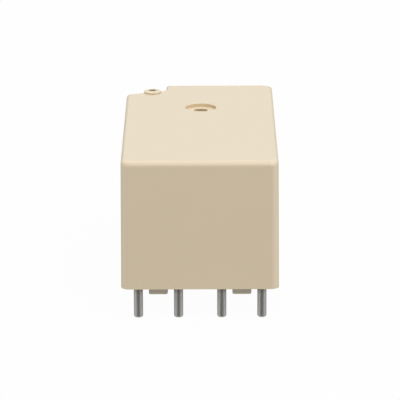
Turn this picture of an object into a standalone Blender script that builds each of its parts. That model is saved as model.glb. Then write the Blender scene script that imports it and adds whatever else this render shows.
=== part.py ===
"""Sealed two-pole relay for a printed circuit board, with a polarised rocking armature.

Sizes are in metres and +Z is up. The relay stands on the tips of its pins, centred on
the origin. The short end with the row of four pins faces -Y, and left is -X.
"""

import math

import bmesh
import bpy
from mathutils import Vector

MM = 0.001

# Clearances between pieces
FIT = 0.05 * MM
BASE_GAP = 0.1 * MM
CONTACT_GAP = 0.05 * MM
POLE_GAP = 0.08 * MM
CUT_OVERRUN = 1.0 * MM

# Cover: a moulded box, open below
COVER_WIDTH = 25.6 * MM
COVER_LENGTH = 50.0 * MM
COVER_HEIGHT = 21.4 * MM
COVER_WALL = 1.2 * MM
COVER_DRAFT = 0.14 * MM
COVER_CORNER_RADIUS = 1.3 * MM
COVER_TOP_END_RADIUS = 1.0 * MM
COVER_TOP_SIDE_RADIUS = 0.35 * MM
CAVITY_CORNER_RADIUS = 0.5 * MM
CAVITY_UPPER_INSET = 0.15 * MM

# Lowered step at the back left corner of the cover, with the vent nib
STEP_WIDTH = 7.0 * MM
STEP_LENGTH = 6.75 * MM
STEP_SLANT = math.radians(21.0)
STEP_DEPTH = 2.4 * MM
STEP_CORNER_RADIUS = 0.9 * MM
STEP_EDGE_RADIUS = 0.35 * MM
NIB_RADIUS = 1.5 * MM
NIB_RISE = 0.27 * MM
NIB_SIDE_INSET = 4.6 * MM
NIB_BACK_INSET = 5.55 * MM
NIB_EDGE_RADIUS = 0.12 * MM
VENT_RADIUS = 0.65 * MM
VENT_DEPTH = 1.0 * MM
VENT_SHIFT_BACK = 0.5 * MM

# Round recess in the top of the cover, with the gate hole in its floor
RECESS_OFFSET_X = 0.2 * MM
RECESS_OFFSET_Y = 8.6 * MM
RECESS_RADIUS = 2.6 * MM
RECESS_DEPTH = 0.53 * MM
RECESS_EDGE_RADIUS = 0.12 * MM
GATE_RADIUS = 1.15 * MM
GATE_DEPTH = 1.0 * MM
GATE_BOSS_RADIUS = 3.7 * MM
GATE_BOSS_HEIGHT = 0.7 * MM

# Base and the resin below it
PIN_LENGTH_BELOW_FEET = 4.2 * MM
FOOT_DROP = 1.4 * MM
FOOT_LENGTH = 2.5 * MM
FOOT_END_INSET = 1.6 * MM
FOOT_PIN_GAP = 1.03 * MM
FOOT_EDGE_RADIUS = 0.4 * MM
RESIN_RECESS = 0.1 * MM
RESIN_THICKNESS = 0.6 * MM
BASE_THICKNESS = 2.2 * MM
BARRIER_THICKNESS = 0.6 * MM
BARRIER_GAP = 0.2 * MM
CONTACT_LANE_WIDTH = 4.2 * MM
PILLAR_LENGTH = 2.0 * MM
COIL_STOP_GAP = 1.2 * MM
COIL_STOP_HEIGHT = 1.8 * MM
COIL_STOP_THICKNESS = 0.7 * MM
PIN_COLLAR_RADIUS = 1.5 * MM
PIN_COLLAR_HEIGHT = 0.5 * MM

# Pins
PIN_RADIUS = 0.75 * MM
PIN_TIP_RADIUS = 0.35 * MM
PIN_SIDE_INSET = 2.74 * MM
PIN_END_INSET = 2.9 * MM
COIL_PIN_SPACING = 7.04 * MM
TENON_RADIUS = 0.55 * MM
STAKE_HEIGHT = 0.3 * MM
COIL_POST_RADIUS = 0.5 * MM
COIL_POST_HEIGHT = 4.0 * MM

# Bent carriers of the contacts
CARRIER_THICKNESS = 0.5 * MM
CARRIER_BEND_RADIUS = 0.2 * MM
CARRIER_SIDE_GAP = 0.3 * MM
CARRIER_END_GAP = 0.2 * MM
CARRIER_WALL_GAP = 0.1 * MM
CARRIER_FOOT_MARGIN = 0.5 * MM
COMMON_CARRIER_WIDTH = 4.0 * MM
COMMON_SHELF_LENGTH = 1.0 * MM
SHELF_MARGIN = 0.3 * MM

# Contacts
CONTACT_SIDE_ROOM = 2.2 * MM
CONTACT_END_ROOM = 1.8 * MM
FIXED_CONTACT_RADIUS = 1.5 * MM
FIXED_CONTACT_HEIGHT = 0.7 * MM
MOVING_CONTACT_RADIUS = 1.2 * MM
MOVING_CONTACT_HEIGHT = 0.75 * MM
MOVING_CONTACT_DOME = 0.15 * MM
CONTACT_EDGE_RADIUS = 0.2 * MM
RIVET_SHANK_RADIUS = 0.5 * MM
RIVET_TAIL_RADIUS = 0.85 * MM
RIVET_TAIL_HEIGHT = 0.3 * MM

# Coil, core and magnet
POLE_END_ROOM = 6.4 * MM
POLE_THICKNESS = 2.4 * MM
CORE_BEND_RADIUS = 1.2 * MM
BOBBIN_WALL = 0.8 * MM
FLANGE_THICKNESS = 1.2 * MM
FLANGE_EAR_HEIGHT = 1.2 * MM
WRAP_MARGIN = 0.3 * MM
WRAP_THICKNESS = 0.15 * MM
WRAP_CORNER_RADIUS = 2.4 * MM
MAGNET_THICKNESS = 1.9 * MM
MAGNET_EDGE = 0.2 * MM
LEAD_RADIUS = 0.1 * MM
LEAD_TURNS = 3
LEAD_PITCH = 0.35 * MM
LEAD_SLOT_WIDTH = 0.6 * MM
LEAD_SLOT_HEIGHT = 1.3 * MM
LEAD_SLOT_INSET = 1.1 * MM

# Parts of the room inside the bobbin's layers that the core fills, the rest being the winding's
CORE_FILL_ACROSS = 0.615
CORE_FILL_UPWARDS = 0.44

# Rocking armature
ARMATURE_TILT = math.radians(2.0)
HEADROOM = 1.6 * MM
ARMATURE_SIDE_OVERHANG = 0.6 * MM
ARMATURE_THICKNESS = 1.6 * MM
ARMATURE_OVERHANG = 0.5 * MM
ARMATURE_CORNER_RADIUS = 0.8 * MM
ARMATURE_EDGE = 0.25 * MM
PEG_RADIUS = 0.75 * MM
PEG_SPACING = 4.0 * MM
MOULDING_LENGTH = 7.0 * MM
MOULDING_COVER_THICKNESS = 1.5 * MM
MOULDING_ARM_ABOVE = 1.2 * MM
MOULDING_ARM_BELOW = 0.7 * MM
MOULDING_WALL = 1.35 * MM
MOULDING_HUMP_SLOPE = 1.0 * MM
MOULDING_GRIP = 0.9 * MM
SPRING_WIDTH = 2.6 * MM
SPRING_WAIST_WIDTH = 1.7 * MM
SPRING_THICKNESS = 0.25 * MM
HINGE_ARM_WIDTH = 1.2 * MM
HINGE_ARM_GAP = 0.2 * MM

# Faces round a full turn, on large and small pieces, and round a quarter turn
ROUND_FACES = 20
SMALL_ROUND_FACES = 16
QUARTER_FACES = 5

# Levels, from the tips of the pins upwards
FEET_Z = PIN_LENGTH_BELOW_FEET
RIM_Z = FEET_Z + FOOT_DROP
COVER_TOP_Z = RIM_Z + COVER_HEIGHT
CEILING_Z = COVER_TOP_Z - COVER_WALL
STEP_FLOOR_Z = COVER_TOP_Z - STEP_DEPTH
RESIN_BOTTOM_Z = RIM_Z + RESIN_RECESS
RESIN_TOP_Z = RESIN_BOTTOM_Z + RESIN_THICKNESS
BASE_BOTTOM_Z = RESIN_TOP_Z + FIT
BASE_TOP_Z = BASE_BOTTOM_Z + BASE_THICKNESS
COIL_BOTTOM_Z = BASE_TOP_Z + FIT
MOULDING_TOP_Z = CEILING_Z - HEADROOM
AXIS_Z = MOULDING_TOP_Z - MOULDING_COVER_THICKNESS - FIT - ARMATURE_THICKNESS

# Places along X, for the right-hand side
CAVITY_X = COVER_WIDTH / 2 - COVER_WALL
LANE_X = CAVITY_X - CONTACT_LANE_WIDTH
FLANGE_X = LANE_X - BARRIER_THICKNESS - BARRIER_GAP
CONTACT_X = CAVITY_X - CONTACT_SIDE_ROOM
OUTER_PIN_X = COVER_WIDTH / 2 - PIN_SIDE_INSET
COIL_PIN_X = COIL_PIN_SPACING / 2
LEAD_SLOT_X = FLANGE_X - LEAD_SLOT_INSET
FOOT_X = (OUTER_PIN_X + COIL_PIN_X) / 2
FOOT_WIDTH = OUTER_PIN_X - COIL_PIN_X - 2 * PIN_RADIUS - 2 * FOOT_PIN_GAP
CARRIER_INNER_X = LANE_X + BARRIER_GAP
CARRIER_OUTER_X = CAVITY_X - CARRIER_SIDE_GAP
MOULDING_END_X = CONTACT_X + MOULDING_GRIP

# Places along Y, for the back half
CAVITY_Y = COVER_LENGTH / 2 - COVER_WALL
PIN_ROW_Y = COVER_LENGTH / 2 - PIN_END_INSET
CARRIER_END_Y = CAVITY_Y - CARRIER_END_GAP
CARRIER_FOOT_Y = PIN_ROW_Y - PIN_RADIUS - CARRIER_FOOT_MARGIN
CONTACT_Y = CARRIER_END_Y - CARRIER_THICKNESS - CONTACT_END_ROOM - SPRING_WIDTH / 2
POLE_OUTER_Y = CAVITY_Y - POLE_END_ROOM
POLE_INNER_Y = POLE_OUTER_Y - POLE_THICKNESS
FLANGE_OUTER_Y = POLE_INNER_Y - FIT
FLANGE_INNER_Y = FLANGE_OUTER_Y - FLANGE_THICKNESS

# Levels that the tilted armature sets: poles, magnet, coil and stationary contacts
TILT_SIN = math.sin(ARMATURE_TILT)
POLE_TOP_Z = AXIS_Z - POLE_OUTER_Y * TILT_SIN - POLE_GAP
FULCRUM_RADIUS = POLE_INNER_Y * TILT_SIN + POLE_GAP
MAGNET_TOP_Z = AXIS_Z - FULCRUM_RADIUS - FIT
MAGNET_SEAT_Z = MAGNET_TOP_Z - MAGNET_THICKNESS - FIT
COIL_Z = (COIL_BOTTOM_Z + MAGNET_SEAT_Z) / 2
WRAPPED_COIL_HALF_X = FLANGE_X - WRAP_MARGIN
WRAPPED_COIL_HALF_Z = (MAGNET_SEAT_Z - COIL_BOTTOM_Z) / 2 - WRAP_MARGIN
COIL_LAYERS_INSET = WRAP_THICKNESS + FIT + FIT + BOBBIN_WALL + FIT
CORE_HALF_X = (WRAPPED_COIL_HALF_X - COIL_LAYERS_INSET) * CORE_FILL_ACROSS
CORE_HALF_Z = (WRAPPED_COIL_HALF_Z - COIL_LAYERS_INSET) * CORE_FILL_UPWARDS
ARMATURE_HALF_X = CORE_HALF_X + ARMATURE_SIDE_OVERHANG
MOVING_CONTACT_DROP = SPRING_THICKNESS / 2 + FIT + MOVING_CONTACT_HEIGHT + MOVING_CONTACT_DOME
FIXED_CONTACT_TOP_Z = AXIS_Z - CONTACT_Y * TILT_SIN - MOVING_CONTACT_DROP - CONTACT_GAP
SHELF_TOP_Z = FIXED_CONTACT_TOP_Z - FIXED_CONTACT_HEIGHT - FIT
COMMON_SHELF_TOP_Z = AXIS_Z - SPRING_THICKNESS / 2 - HINGE_ARM_WIDTH / 2 * TILT_SIN - 2 * FIT

SIDES = {"left": -1, "right": 1}
ENDS = {"front": -1, "back": 1}


def clear_scene():
    for item in list(bpy.data.objects):
        bpy.data.objects.remove(item, do_unlink=True)


# Materials

def surface(name, colour, roughness, metallic):
    material = bpy.data.materials.get(name)
    if material is None:
        material = bpy.data.materials.new(name)
        material.use_nodes = True
        shader = material.node_tree.nodes["Principled BSDF"]
        shader.inputs["Base Color"].default_value = (*colour, 1.0)
        shader.inputs["Roughness"].default_value = roughness
        shader.inputs["Metallic"].default_value = metallic
    return material


def ivory_plastic():
    return surface("ivory_plastic", (0.68, 0.57, 0.4), 0.5, 0.0)


def grey_plastic():
    return surface("grey_plastic", (0.56, 0.51, 0.41), 0.55, 0.0)


def black_plastic():
    return surface("black_plastic", (0.03, 0.03, 0.032), 0.5, 0.0)


def bobbin_plastic():
    return surface("bobbin_plastic", (0.5, 0.5, 0.47), 0.5, 0.0)


def epoxy():
    return surface("epoxy", (0.42, 0.36, 0.24), 0.3, 0.0)


def tinned_copper():
    return surface("tinned_copper", (0.62, 0.62, 0.6), 0.3, 1.0)


def brass_sheet():
    return surface("brass_sheet", (0.72, 0.55, 0.27), 0.35, 1.0)


def spring_copper():
    return surface("spring_copper", (0.75, 0.42, 0.26), 0.3, 1.0)


def contact_silver():
    return surface("contact_silver", (0.83, 0.82, 0.78), 0.25, 1.0)


def plated_iron():
    return surface("plated_iron", (0.55, 0.55, 0.54), 0.35, 1.0)


def magnet_alloy():
    return surface("magnet_alloy", (0.14, 0.14, 0.15), 0.6, 0.3)


def enamelled_wire():
    return surface("enamelled_wire", (0.55, 0.17, 0.07), 0.3, 0.6)


def wrap_tape():
    return surface("wrap_tape", (0.62, 0.42, 0.08), 0.4, 0.0)


# Mesh tools

def arc(centre, radius, start, end, faces):
    """Points along an arc, angles in degrees, both ends included."""
    points = []
    for step in range(faces + 1):
        angle = math.radians(start + (end - start) * step / faces)
        points.append((centre[0] + radius * math.cos(angle), centre[1] + radius * math.sin(angle)))
    return points


def rounded_rectangle(half_u, half_v, radius, centre=(0.0, 0.0)):
    """Outline of a rectangle with rounded corners, anticlockwise."""
    points = []
    for sign_u, sign_v, start in ((1, 1, 0), (-1, 1, 90), (-1, -1, 180), (1, -1, 270)):
        corner = (centre[0] + sign_u * (half_u - radius), centre[1] + sign_v * (half_v - radius))
        points += arc(corner, radius, start, start + 90, QUARTER_FACES)
    return points


def rectangle(low_u, low_v, high_u, high_v):
    return [(low_u, low_v), (high_u, low_v), (high_u, high_v), (low_u, high_v)]


def place_point(u, v, along, axis):
    """A point of an outline, set at a distance along the axis that the outline is square to."""
    if axis == "X":
        return Vector((along, u, v))
    if axis == "Y":
        return Vector((u, along, v))
    return Vector((u, v, along))


def loft(rings):
    """A closed solid through rings of equal point counts, with its two ends capped."""
    mesh = bmesh.new()
    loops = [[mesh.verts.new(point) for point in ring] for ring in rings]
    for lower, upper in zip(loops, loops[1:]):
        for index in range(len(lower)):
            following = (index + 1) % len(lower)
            mesh.faces.new((lower[index], lower[following], upper[following], upper[index]))
    mesh.faces.new(loops[0])
    mesh.faces.new(loops[-1])
    bmesh.ops.recalc_face_normals(mesh, faces=mesh.faces)
    return mesh


def prism(outline, low, high, axis="Z"):
    """An outline carried straight along an axis."""
    return loft([[place_point(u, v, along, axis) for u, v in outline] for along in (low, high)])


def block(low, high):
    """A box between two corners."""
    return prism(rectangle(low[0], low[1], high[0], high[1]), low[2], high[2])


def turned(profile, faces=ROUND_FACES):
    """A solid of revolution about Z, from (radius, height) points that start and end on the axis."""
    mesh = bmesh.new()
    verts = [mesh.verts.new((radius, 0.0, height)) for radius, height in profile]
    edges = [mesh.edges.new(pair) for pair in zip(verts, verts[1:])]
    bmesh.ops.spin(mesh, geom=verts + edges, cent=(0, 0, 0), axis=(0, 0, 1), angle=math.tau,
                   steps=faces, use_merge=True)
    bmesh.ops.remove_doubles(mesh, verts=mesh.verts, dist=0.0001 * MM)
    bmesh.ops.recalc_face_normals(mesh, faces=mesh.faces)
    return mesh


def bent_strip(path, thickness, bend_radius):
    """Outline of a sheet strip seen edge on, bent with round corners at the inner points of a path."""
    corners = [Vector(point) for point in path]
    near_side = []
    far_side = []

    def add_pair(point, direction):
        across = Vector((-direction.y, direction.x)) * thickness / 2
        near_side.append(tuple(point + across))
        far_side.append(tuple(point - across))

    middle_radius = bend_radius + thickness / 2
    add_pair(corners[0], (corners[1] - corners[0]).normalized())
    for before, corner, after in zip(corners, corners[1:], corners[2:]):
        entry = (corner - before).normalized()
        leave = (after - corner).normalized()
        turn = math.atan2(entry.x * leave.y - entry.y * leave.x, entry.dot(leave))
        side = math.copysign(1.0, turn)
        start = corner - entry * middle_radius * math.tan(abs(turn) / 2)
        centre = start + Vector((-entry.y, entry.x)) * middle_radius * side
        for step in range(QUARTER_FACES):
            angle = turn * step / (QUARTER_FACES - 1)
            direction = Vector((entry.x * math.cos(angle) - entry.y * math.sin(angle),
                                entry.x * math.sin(angle) + entry.y * math.cos(angle)))
            point = centre - Vector((-direction.y, direction.x)) * middle_radius * side
            add_pair(point, direction)
    add_pair(corners[-1], (corners[-1] - corners[-2]).normalized())
    return near_side + far_side[::-1]


def join_meshes(meshes):
    """Several separate closed shapes in one mesh, for a cutter or a set of bosses."""
    whole = bmesh.new()
    for mesh in meshes:
        part = bpy.data.meshes.new("joined")
        mesh.to_mesh(part)
        whole.from_mesh(part)
        bpy.data.meshes.remove(part)
        mesh.free()
    return whole


def moved(mesh, offset):
    bmesh.ops.translate(mesh, verts=mesh.verts, vec=Vector(offset))
    return mesh


def mirrored_x(outline, side):
    """An outline drawn for the right-hand side, for either side."""
    if side > 0:
        return outline
    return [(-u, v) for u, v in reversed(outline)]


# Objects

def add_object(name, mesh, material, location=(0, 0, 0), parent=None):
    data = bpy.data.meshes.new(name)
    mesh.to_mesh(data)
    mesh.free()
    data.materials.append(material)
    data.shade_smooth()
    data.set_sharp_from_angle(angle=math.radians(35))
    item = bpy.data.objects.new(name, data)
    item.location = location
    item.parent = parent
    bpy.context.collection.objects.link(item)
    return item


def shape_with(target, mesh, operation):
    """Cuts a mesh from an object, or joins it on, and keeps the tool shape out of the model."""
    tool = add_object(f"{target.name}_tool", mesh, target.data.materials[0])
    tool.parent = target.parent
    tool.location = target.location
    tool.hide_render = True
    tool.display_type = "WIRE"
    boolean = target.modifiers.new(operation.lower(), "BOOLEAN")
    boolean.operation = operation
    boolean.solver = "EXACT"
    boolean.object = tool


def cut(target, mesh):
    shape_with(target, mesh, "DIFFERENCE")


def join(target, mesh):
    shape_with(target, mesh, "UNION")


def bevel_edges(target, width, segments=1):
    bevel = target.modifiers.new("edges", "BEVEL")
    bevel.width = width
    bevel.segments = segments
    bevel.limit_method = "ANGLE"
    bevel.angle_limit = math.radians(50)


# Cover

def step_outline(grow, half_x, half_y):
    """The lowered corner's outline, grown outwards by a distance.

    Its front wall slants back towards the middle, and a round corner joins it to the side wall.
    """
    radius = STEP_CORNER_RADIUS + grow
    edge_x = -COVER_WIDTH / 2 + STEP_WIDTH + grow
    slope = math.tan(STEP_SLANT)

    def wall_y(x, gap):
        """Where a line beside the slanting wall lies, at a gap from it."""
        return COVER_LENGTH / 2 - STEP_LENGTH + (x + COVER_WIDTH / 2) * slope - gap / math.cos(STEP_SLANT)

    centre = (edge_x - radius, wall_y(edge_x - radius, grow - radius))
    inner_corner = arc(centre, radius, math.degrees(STEP_SLANT) - 90, 0, 2 * QUARTER_FACES)
    return [(-half_x, half_y), (-half_x, wall_y(-half_x, grow))] + inner_corner + [(edge_x, half_y)]


def edge_inset(radius, depth):
    """How far an upper edge's quarter round stands in from the wall, at a depth below the top."""
    rise = max(radius - depth, 0.0)
    return radius - math.sqrt(radius ** 2 - rise ** 2)


def cover_outside():
    """Walls that lean in upwards, under edges rounded more at the short ends than along the sides."""
    end_radius = COVER_TOP_END_RADIUS
    side_radius = min(COVER_TOP_SIDE_RADIUS, 0.95 * COVER_CORNER_RADIUS)
    depths = {COVER_HEIGHT}
    for radius in (end_radius, side_radius):
        depths |= {radius - rise for _, rise in arc((0.0, 0.0), radius, 0, 90, QUARTER_FACES)}
    rings = []
    for depth in sorted(depths, reverse=True):
        lean = COVER_DRAFT * (COVER_HEIGHT - depth) / COVER_HEIGHT
        side_inset = edge_inset(side_radius, depth)
        outline = rounded_rectangle(COVER_WIDTH / 2 - lean - side_inset,
                                    COVER_LENGTH / 2 - lean - edge_inset(end_radius, depth),
                                    COVER_CORNER_RADIUS - side_inset)
        rings.append([Vector((x, y, COVER_TOP_Z - depth)) for x, y in outline])
    return loft(rings)


def cavity_lower():
    outline = rounded_rectangle(CAVITY_X, CAVITY_Y, CAVITY_CORNER_RADIUS)
    return prism(outline, RIM_Z - CUT_OVERRUN, STEP_FLOOR_Z - COVER_WALL)


def cavity_upper():
    """The space beside the lowered corner, up to the cover's flat ceiling."""
    half_x = CAVITY_X - CAVITY_UPPER_INSET
    half_y = CAVITY_Y - CAVITY_UPPER_INSET
    corner_path = step_outline(COVER_WALL, half_x, half_y)[1:]
    outline = corner_path + [(half_x, half_y), (half_x, -half_y), (-half_x, -half_y)]
    return prism(outline, STEP_FLOOR_Z - 2 * COVER_WALL, CEILING_Z)


def step_cutter():
    """Widens upwards in a quarter round, which leaves the step's upper edge rounded."""
    half_x = COVER_WIDTH / 2 + CUT_OVERRUN
    half_y = COVER_LENGTH / 2 + CUT_OVERRUN
    rings = [(0.0, STEP_FLOOR_Z)]
    for grow, rise in arc((STEP_EDGE_RADIUS, 0.0), STEP_EDGE_RADIUS, 180, 100, QUARTER_FACES - 1):
        rings.append((grow, COVER_TOP_Z - STEP_EDGE_RADIUS + rise))
    rings.append((STEP_EDGE_RADIUS, COVER_TOP_Z + CUT_OVERRUN))
    return loft([[Vector((x, y, height)) for x, y in step_outline(grow, half_x, half_y)]
                 for grow, height in rings])


def nib_place():
    return -COVER_WIDTH / 2 + NIB_SIDE_INSET, COVER_LENGTH / 2 - NIB_BACK_INSET


def vent_nib():
    top = COVER_TOP_Z + NIB_RISE
    foot = STEP_FLOOR_Z - COVER_WALL / 2
    rim = arc((NIB_RADIUS - NIB_EDGE_RADIUS, top - NIB_EDGE_RADIUS), NIB_EDGE_RADIUS, 0, 90, 3)
    nib_x, nib_y = nib_place()
    return moved(turned([(0.0, foot), (NIB_RADIUS, foot)] + rim + [(0.0, top)]), (nib_x, nib_y, 0.0))


def vent_hole():
    """The blind hole in the nib, which leaves its thinnest wall at the back."""
    bottom = COVER_TOP_Z + NIB_RISE - VENT_DEPTH
    top = COVER_TOP_Z + NIB_RISE + CUT_OVERRUN
    nib_x, nib_y = nib_place()
    mesh = turned([(0.0, bottom), (VENT_RADIUS, bottom), (VENT_RADIUS, top), (0.0, top)])
    return moved(mesh, (nib_x, nib_y + VENT_SHIFT_BACK, 0.0))


def gate_boss():
    profile = [(0.0, CEILING_Z - GATE_BOSS_HEIGHT), (GATE_BOSS_RADIUS, CEILING_Z - GATE_BOSS_HEIGHT),
               (GATE_BOSS_RADIUS, CEILING_Z + COVER_WALL / 4), (0.0, CEILING_Z + COVER_WALL / 4)]
    return moved(turned(profile), (RECESS_OFFSET_X, RECESS_OFFSET_Y, 0.0))


def gate_recess():
    floor = COVER_TOP_Z - RECESS_DEPTH
    edge = [(RECESS_RADIUS + grow, COVER_TOP_Z - RECESS_EDGE_RADIUS + rise) for grow, rise in
            arc((RECESS_EDGE_RADIUS, 0.0), RECESS_EDGE_RADIUS, 180, 105, 2)]
    above = COVER_TOP_Z + CUT_OVERRUN
    profile = [(0.0, floor - GATE_DEPTH), (GATE_RADIUS, floor - GATE_DEPTH), (GATE_RADIUS, floor),
               (RECESS_RADIUS, floor)] + edge
    profile += [(RECESS_RADIUS + RECESS_EDGE_RADIUS, above), (0.0, above)]
    return moved(turned(profile, 2 * ROUND_FACES), (RECESS_OFFSET_X, RECESS_OFFSET_Y, 0.0))


def make_cover():
    cover = add_object("cover", cover_outside(), ivory_plastic())
    cut(cover, cavity_lower())
    cut(cover, cavity_upper())
    join(cover, gate_boss())
    cut(cover, step_cutter())
    join(cover, vent_nib())
    cut(cover, vent_hole())
    cut(cover, gate_recess())


# Base and resin

def pin_places():
    """Where the eight pins stand, by name."""
    places = {}
    for side_name, side in SIDES.items():
        for end_name, end in ENDS.items():
            places[f"{end_name}_{side_name}_pin"] = (side * OUTER_PIN_X, end * PIN_ROW_Y)
        places[f"middle_{side_name}_pin"] = (side * OUTER_PIN_X, 0.0)
        places[f"coil_{side_name}_pin"] = (side * COIL_PIN_X, -PIN_ROW_Y)
    return places


def foot_centres():
    y = COVER_LENGTH / 2 - FOOT_END_INSET - FOOT_LENGTH / 2
    return [(side * FOOT_X, end * y) for side in SIDES.values() for end in ENDS.values()]


def foot_blocks(grow, bottom, top, edge_radius):
    """The moulded feet, with rounded lower edges, or the spaces they pass through."""
    meshes = []
    for centre in foot_centres():
        half_x = FOOT_WIDTH / 2 + grow
        half_y = FOOT_LENGTH / 2 + grow
        rings = [(inset, bottom + edge_radius + rise) for inset, rise in
                 arc((edge_radius, 0.0), edge_radius, 270, 180, 3)]
        rings.append((0.0, top))
        meshes.append(loft([[Vector((x, y, height)) for x, y in
                             rounded_rectangle(half_x - inset, half_y - inset,
                                               1.05 * edge_radius - inset, centre)]
                            for inset, height in rings]))
    return join_meshes(meshes)


def pin_holes(radius, bottom, top):
    profile = [(0.0, bottom), (radius, bottom), (radius, top), (0.0, top)]
    return join_meshes([moved(turned(profile), (x, y, 0.0)) for x, y in pin_places().values()])


def plate_outline(gap):
    return rounded_rectangle(CAVITY_X - gap, CAVITY_Y - gap, CAVITY_CORNER_RADIUS)


def make_base():
    base = add_object("base", prism(plate_outline(BASE_GAP), BASE_BOTTOM_Z, BASE_TOP_Z), grey_plastic())
    root_z = BASE_TOP_Z - BASE_THICKNESS / 3
    join(base, foot_blocks(0.0, FEET_Z, BASE_BOTTOM_Z + BASE_THICKNESS / 3, FOOT_EDGE_RADIUS))
    uprights = []
    for side in SIDES.values():
        inner = LANE_X - BARRIER_THICKNESS
        low_x, high_x = sorted((side * inner, side * LANE_X))
        uprights.append(block((low_x, -FLANGE_OUTER_Y, root_z), (high_x, FLANGE_OUTER_Y, COIL_Z)))
        low_x, high_x = sorted((side * CARRIER_INNER_X, side * CARRIER_OUTER_X))
        top = SHELF_TOP_Z - CARRIER_THICKNESS - RIVET_TAIL_HEIGHT - 2 * FIT
        for end in ENDS.values():
            far = CARRIER_FOOT_Y - BASE_GAP
            low_y, high_y = sorted((end * (far - PILLAR_LENGTH), end * far))
            uprights.append(block((low_x, low_y, root_z), (high_x, high_y, top)))
    stop_x = LEAD_SLOT_X - LEAD_SLOT_WIDTH / 2 - COIL_STOP_GAP
    for end in ENDS.values():
        near = FLANGE_OUTER_Y + FIT
        low_y, high_y = sorted((end * near, end * (near + COIL_STOP_THICKNESS)))
        uprights.append(block((-stop_x, low_y, root_z),
                              (stop_x, high_y, BASE_TOP_Z + COIL_STOP_HEIGHT)))
    collar = [(0.0, root_z), (PIN_COLLAR_RADIUS, root_z),
              (PIN_COLLAR_RADIUS, BASE_TOP_Z + PIN_COLLAR_HEIGHT), (0.0, BASE_TOP_Z + PIN_COLLAR_HEIGHT)]
    for side in SIDES.values():
        uprights.append(moved(turned(collar), (side * COIL_PIN_X, -PIN_ROW_Y, 0.0)))
    join(base, join_meshes(uprights))
    cut(base, pin_holes(PIN_RADIUS + FIT, BASE_BOTTOM_Z - CUT_OVERRUN,
                        BASE_TOP_Z + PIN_COLLAR_HEIGHT + CUT_OVERRUN))


def make_resin():
    resin = add_object("seal_resin", prism(plate_outline(FIT), RESIN_BOTTOM_Z, RESIN_TOP_Z), epoxy())
    low = RESIN_BOTTOM_Z - CUT_OVERRUN
    high = RESIN_TOP_Z + CUT_OVERRUN
    cut(resin, foot_blocks(FIT, low, high, FOOT_EDGE_RADIUS))
    cut(resin, pin_holes(PIN_RADIUS + FIT, low, high))


# Pins

def pin_tip():
    return [(0.0, 0.0)] + arc((PIN_RADIUS - PIN_TIP_RADIUS, PIN_TIP_RADIUS), PIN_TIP_RADIUS, -90, 0, 3)


def staked_pin():
    """A contact pin: its tenon goes through a carrier's foot and is staked over on it."""
    shoulder = BASE_TOP_Z
    stake_bottom = BASE_TOP_Z + FIT + CARRIER_THICKNESS + FIT
    stake_top = stake_bottom + STAKE_HEIGHT
    return turned(pin_tip() + [(PIN_RADIUS, shoulder), (TENON_RADIUS, shoulder),
                               (TENON_RADIUS, stake_bottom), (PIN_RADIUS, stake_bottom),
                               (TENON_RADIUS, stake_top), (0.0, stake_top)])


def coil_pin():
    """A coil pin: it ends in a thinner post that the lead is wound on."""
    shoulder = BASE_TOP_Z + PIN_COLLAR_HEIGHT
    top = shoulder + COIL_POST_HEIGHT
    return turned(pin_tip() + [(PIN_RADIUS, shoulder), (COIL_POST_RADIUS, shoulder),
                               (COIL_POST_RADIUS, top), (0.0, top)])


def make_pins():
    for name, (x, y) in pin_places().items():
        mesh = coil_pin() if name.startswith("coil") else staked_pin()
        add_object(name, mesh, tinned_copper(), (x, y, 0.0))


# Carriers and fixed contacts

def end_carrier_outline(end):
    """The corner carrier seen from the side: foot on the base, blade, and shelf for the contact."""
    foot_z = BASE_TOP_Z + FIT + CARRIER_THICKNESS / 2
    shelf_z = SHELF_TOP_Z - CARRIER_THICKNESS / 2
    blade_y = CARRIER_END_Y - CARRIER_THICKNESS / 2
    shelf_y = CONTACT_Y - FIXED_CONTACT_RADIUS - SHELF_MARGIN
    path = [(CARRIER_FOOT_Y, foot_z), (blade_y, foot_z), (blade_y, shelf_z), (shelf_y, shelf_z)]
    outline = bent_strip(path, CARRIER_THICKNESS, CARRIER_BEND_RADIUS)
    return mirrored_x(outline, end)


def hole_cutter(x, y, z, radius):
    """A short round cutter through a carrier's sheet."""
    half = CARRIER_THICKNESS
    profile = [(0.0, z - half), (radius, z - half), (radius, z + half), (0.0, z + half)]
    return moved(turned(profile, SMALL_ROUND_FACES), (x, y, 0.0))


def make_end_carriers():
    for side_name, side in SIDES.items():
        low_x, high_x = sorted((side * CARRIER_INNER_X, side * CARRIER_OUTER_X))
        for end_name, end in ENDS.items():
            mesh = prism(end_carrier_outline(end), low_x, high_x, "X")
            carrier = add_object(f"{end_name}_{side_name}_carrier", mesh, brass_sheet())
            foot_z = BASE_TOP_Z + FIT + CARRIER_THICKNESS / 2
            cut(carrier, hole_cutter(side * OUTER_PIN_X, end * PIN_ROW_Y, foot_z, TENON_RADIUS + FIT))
            shelf_z = SHELF_TOP_Z - CARRIER_THICKNESS / 2
            cut(carrier, hole_cutter(side * CONTACT_X, end * CONTACT_Y, shelf_z,
                                     RIVET_SHANK_RADIUS + FIT))


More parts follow.
